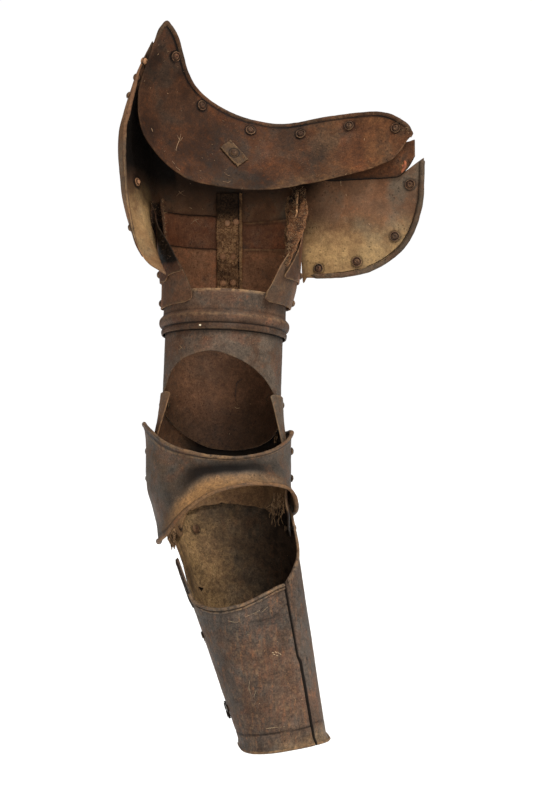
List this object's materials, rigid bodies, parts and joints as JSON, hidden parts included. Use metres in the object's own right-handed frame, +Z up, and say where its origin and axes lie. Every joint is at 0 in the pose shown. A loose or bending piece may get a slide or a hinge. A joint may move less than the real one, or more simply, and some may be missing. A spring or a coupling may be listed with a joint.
{
  "type": "arm harness with pauldron, couter and vambrace",
  "caption": "Rusted plate defence for a whole arm: winged shoulder plate, turning upper cannon, jointed elbow plate and hinged forearm cannon.",
  "frame": {"origin": "strap rivet on the crest plate, where the harness hangs from its wearer's shoulder", "axes": "+Z up the arm, +X from the narrow shoulder wing to the broad one, -Y the inner side of the arm"},
  "size_m": [0.2788, 0.1666, 0.6605],
  "materials": {
    "rusted_iron": "rusted plate, grey-brown with orange specks",
    "brown_iron": "dark brown rust, ochre low on the wings",
    "rivet_iron": "worn tan-brown rivet heads",
    "leather": "old dry leather with frayed edges"
  },
  "bodies": {
    "pauldron": {"center_leather": "leather", "crest_plate": "brown_iron", "crest_rivet_1": "rivet_iron", "crest_rivet_2": "rivet_iron", "crest_rivet_3": "rivet_iron", "crest_rivet_4": "rivet_iron", "crest_rivet_5": "rivet_iron", "crest_rivet_6": "rivet_iron", "lame_rivet_left_lower": "rivet_iron", "lame_rivet_left_upper": "rivet_iron", "lame_rivet_right_lower": "rivet_iron", "lame_rivet_right_upper": "rivet_iron", "left_leather": "leather", "lower_pauldron_lame": "brown_iron", "main_plate": "brown_iron", "neck_lame": "brown_iron", "right_leather": "leather", "strap_rivet_1": "rivet_iron", "strap_rivet_2": "rivet_iron", "strap_rivet_3": "rivet_iron", "strap_rivet_4": "rivet_iron", "strap_rivet_5": "rivet_iron", "strap_rivet_6": "rivet_iron", "strap_washer": "rusted_iron", "strap_washer_rivet": "rivet_iron", "turner_collar": "rusted_iron", "upper_pauldron_lame": "brown_iron", "wing_rivet_left_1": "rivet_iron", "wing_rivet_left_2": "rivet_iron", "wing_rivet_left_3": "rivet_iron", "wing_rivet_left_4": "rivet_iron", "wing_rivet_left_5": "rivet_iron", "wing_rivet_right_1": "rivet_iron", "wing_rivet_right_2": "rivet_iron", "wing_rivet_right_3": "rivet_iron", "wing_rivet_right_4": "rivet_iron"},
    "upper_cannon": {"upper_cannon": "rusted_iron"},
    "elbow_upper_lame": {"elbow_upper_lame": "rusted_iron", "cannon_pivot_left": "rivet_iron", "cannon_pivot_right": "rivet_iron"},
    "couter": {"couter": "rusted_iron", "couter_upper_pivot_left": "rivet_iron", "couter_upper_pivot_right": "rivet_iron", "couter_lower_pivot_left": "rivet_iron", "couter_lower_pivot_right": "rivet_iron"},
    "elbow_lower_lame": {"elbow_lower_lame": "rusted_iron"},
    "lower_cannon": {"lower_cannon": "rusted_iron", "forearm_rivet": "rivet_iron", "forearm_pivot_left": "rivet_iron", "forearm_pivot_right": "rivet_iron", "hinge_upper_shell_leaf": "rusted_iron", "hinge_upper_pin": "rivet_iron", "hinge_lower_shell_leaf": "rusted_iron", "hinge_lower_pin": "rivet_iron"},
    "door": {"lower_cannon_door": "rusted_iron", "hinge_upper_door_leaf": "rusted_iron", "hinge_lower_door_leaf": "rusted_iron"}
  },
  "joints": [
    {"name": "turner", "type": "hinge", "parent": "pauldron", "child": "upper_cannon", "pos_m": [-0.0083, 0.01, -0.1586], "axis": [0.033, 0.105, 0.9939], "range_deg": [-45, 45]},
    {"name": "cannon_pivots", "type": "hinge", "parent": "upper_cannon", "child": "elbow_upper_lame", "pos_m": [-0.0108, 0.016, -0.233], "axis": [-1, 0, 0], "range_deg": [0, 12]},
    {"name": "couter_upper_pivots", "type": "hinge", "parent": "elbow_upper_lame", "child": "couter", "pos_m": [-0.0123, 0.0085, -0.2758], "axis": [-1, 0, 0], "range_deg": [0, 25]},
    {"name": "couter_lower_pivots", "type": "hinge", "parent": "couter", "child": "elbow_lower_lame", "pos_m": [-0.0122, 0.007, -0.301], "axis": [-1, 0, 0], "range_deg": [0, 20]},
    {"name": "forearm_pivots", "type": "hinge", "parent": "elbow_lower_lame", "child": "lower_cannon", "pos_m": [0, 0.005, -0.3475], "axis": [-1, 0, 0], "range_deg": [0, 20]},
    {"name": "door_hinge", "type": "hinge", "parent": "lower_cannon", "child": "door", "pos_m": [-0.0048, -0.0115, -0.5132], "axis": [0.3061, -0.1469, -0.9406], "range_deg": [0, 90]}
  ]
}
